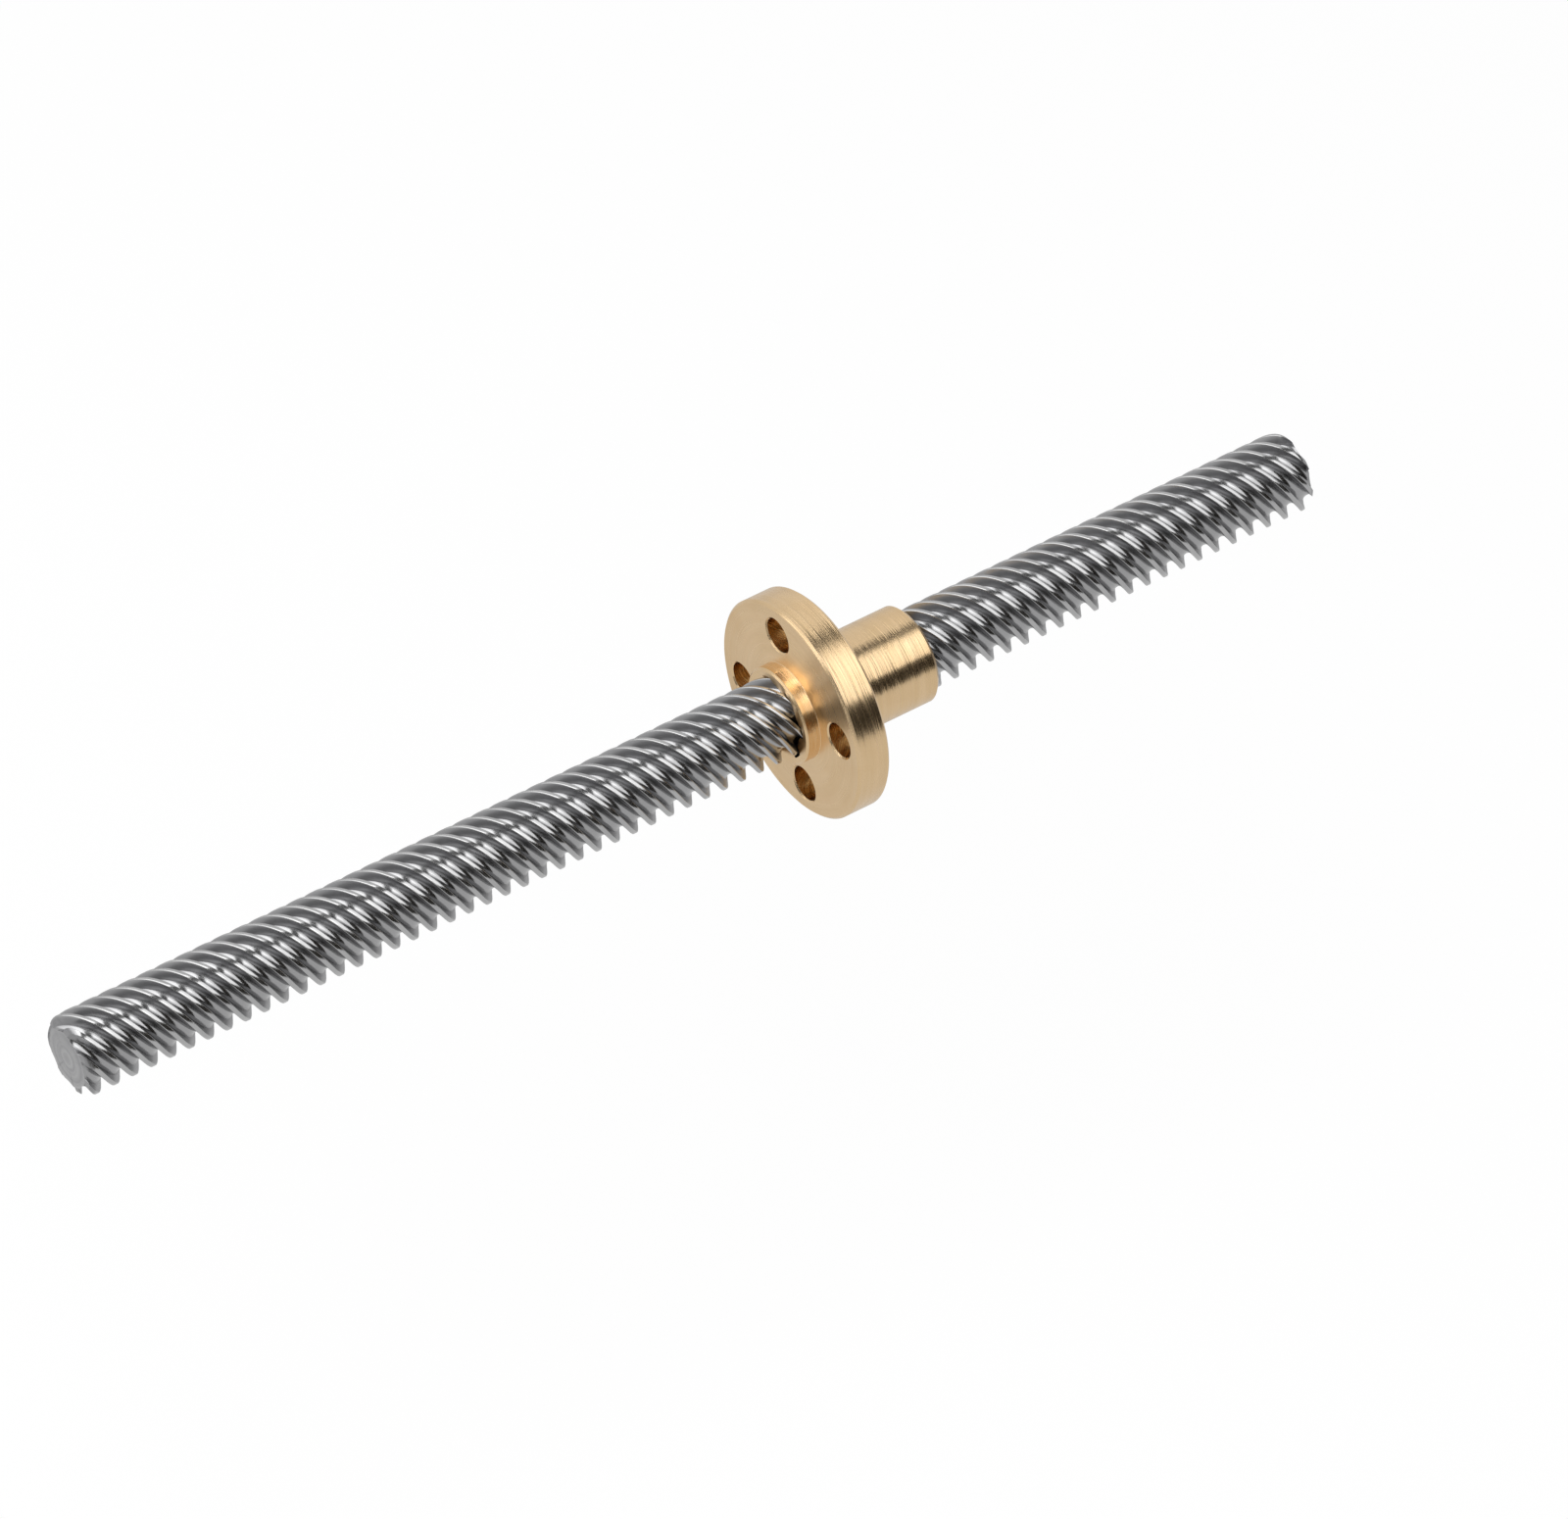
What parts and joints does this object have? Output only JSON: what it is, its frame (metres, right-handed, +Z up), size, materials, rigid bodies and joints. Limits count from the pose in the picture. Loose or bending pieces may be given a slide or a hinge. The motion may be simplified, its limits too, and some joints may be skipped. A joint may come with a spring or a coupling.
{
  "type": "lead screw with flanged nut",
  "caption": "Steel multi-start lead screw with a flanged brass nut that travels along it and bolts to a carriage.",
  "frame": {"origin": "centre of the lead screw's coupling end face, on the screw's axis", "axes": "+X runs along the screw from the coupling end to the free end and through the nut's flange towards its barrel; +Z is up when the screw is held level"},
  "size_m": [0.136, 0.022, 0.022],
  "materials": {
    "steel": "rolled bright steel thread",
    "brass": "turned brass, clean tool marks"
  },
  "bodies": {
    "screw": {"lead_screw": "steel"},
    "nut": {"flanged_nut": "brass"}
  },
  "joints": [
    {"name": "nut_travel", "type": "slide", "parent": "screw", "child": "nut", "axis": [1, 0, 0], "range_m": [-0.076, 0.044]}
  ]
}
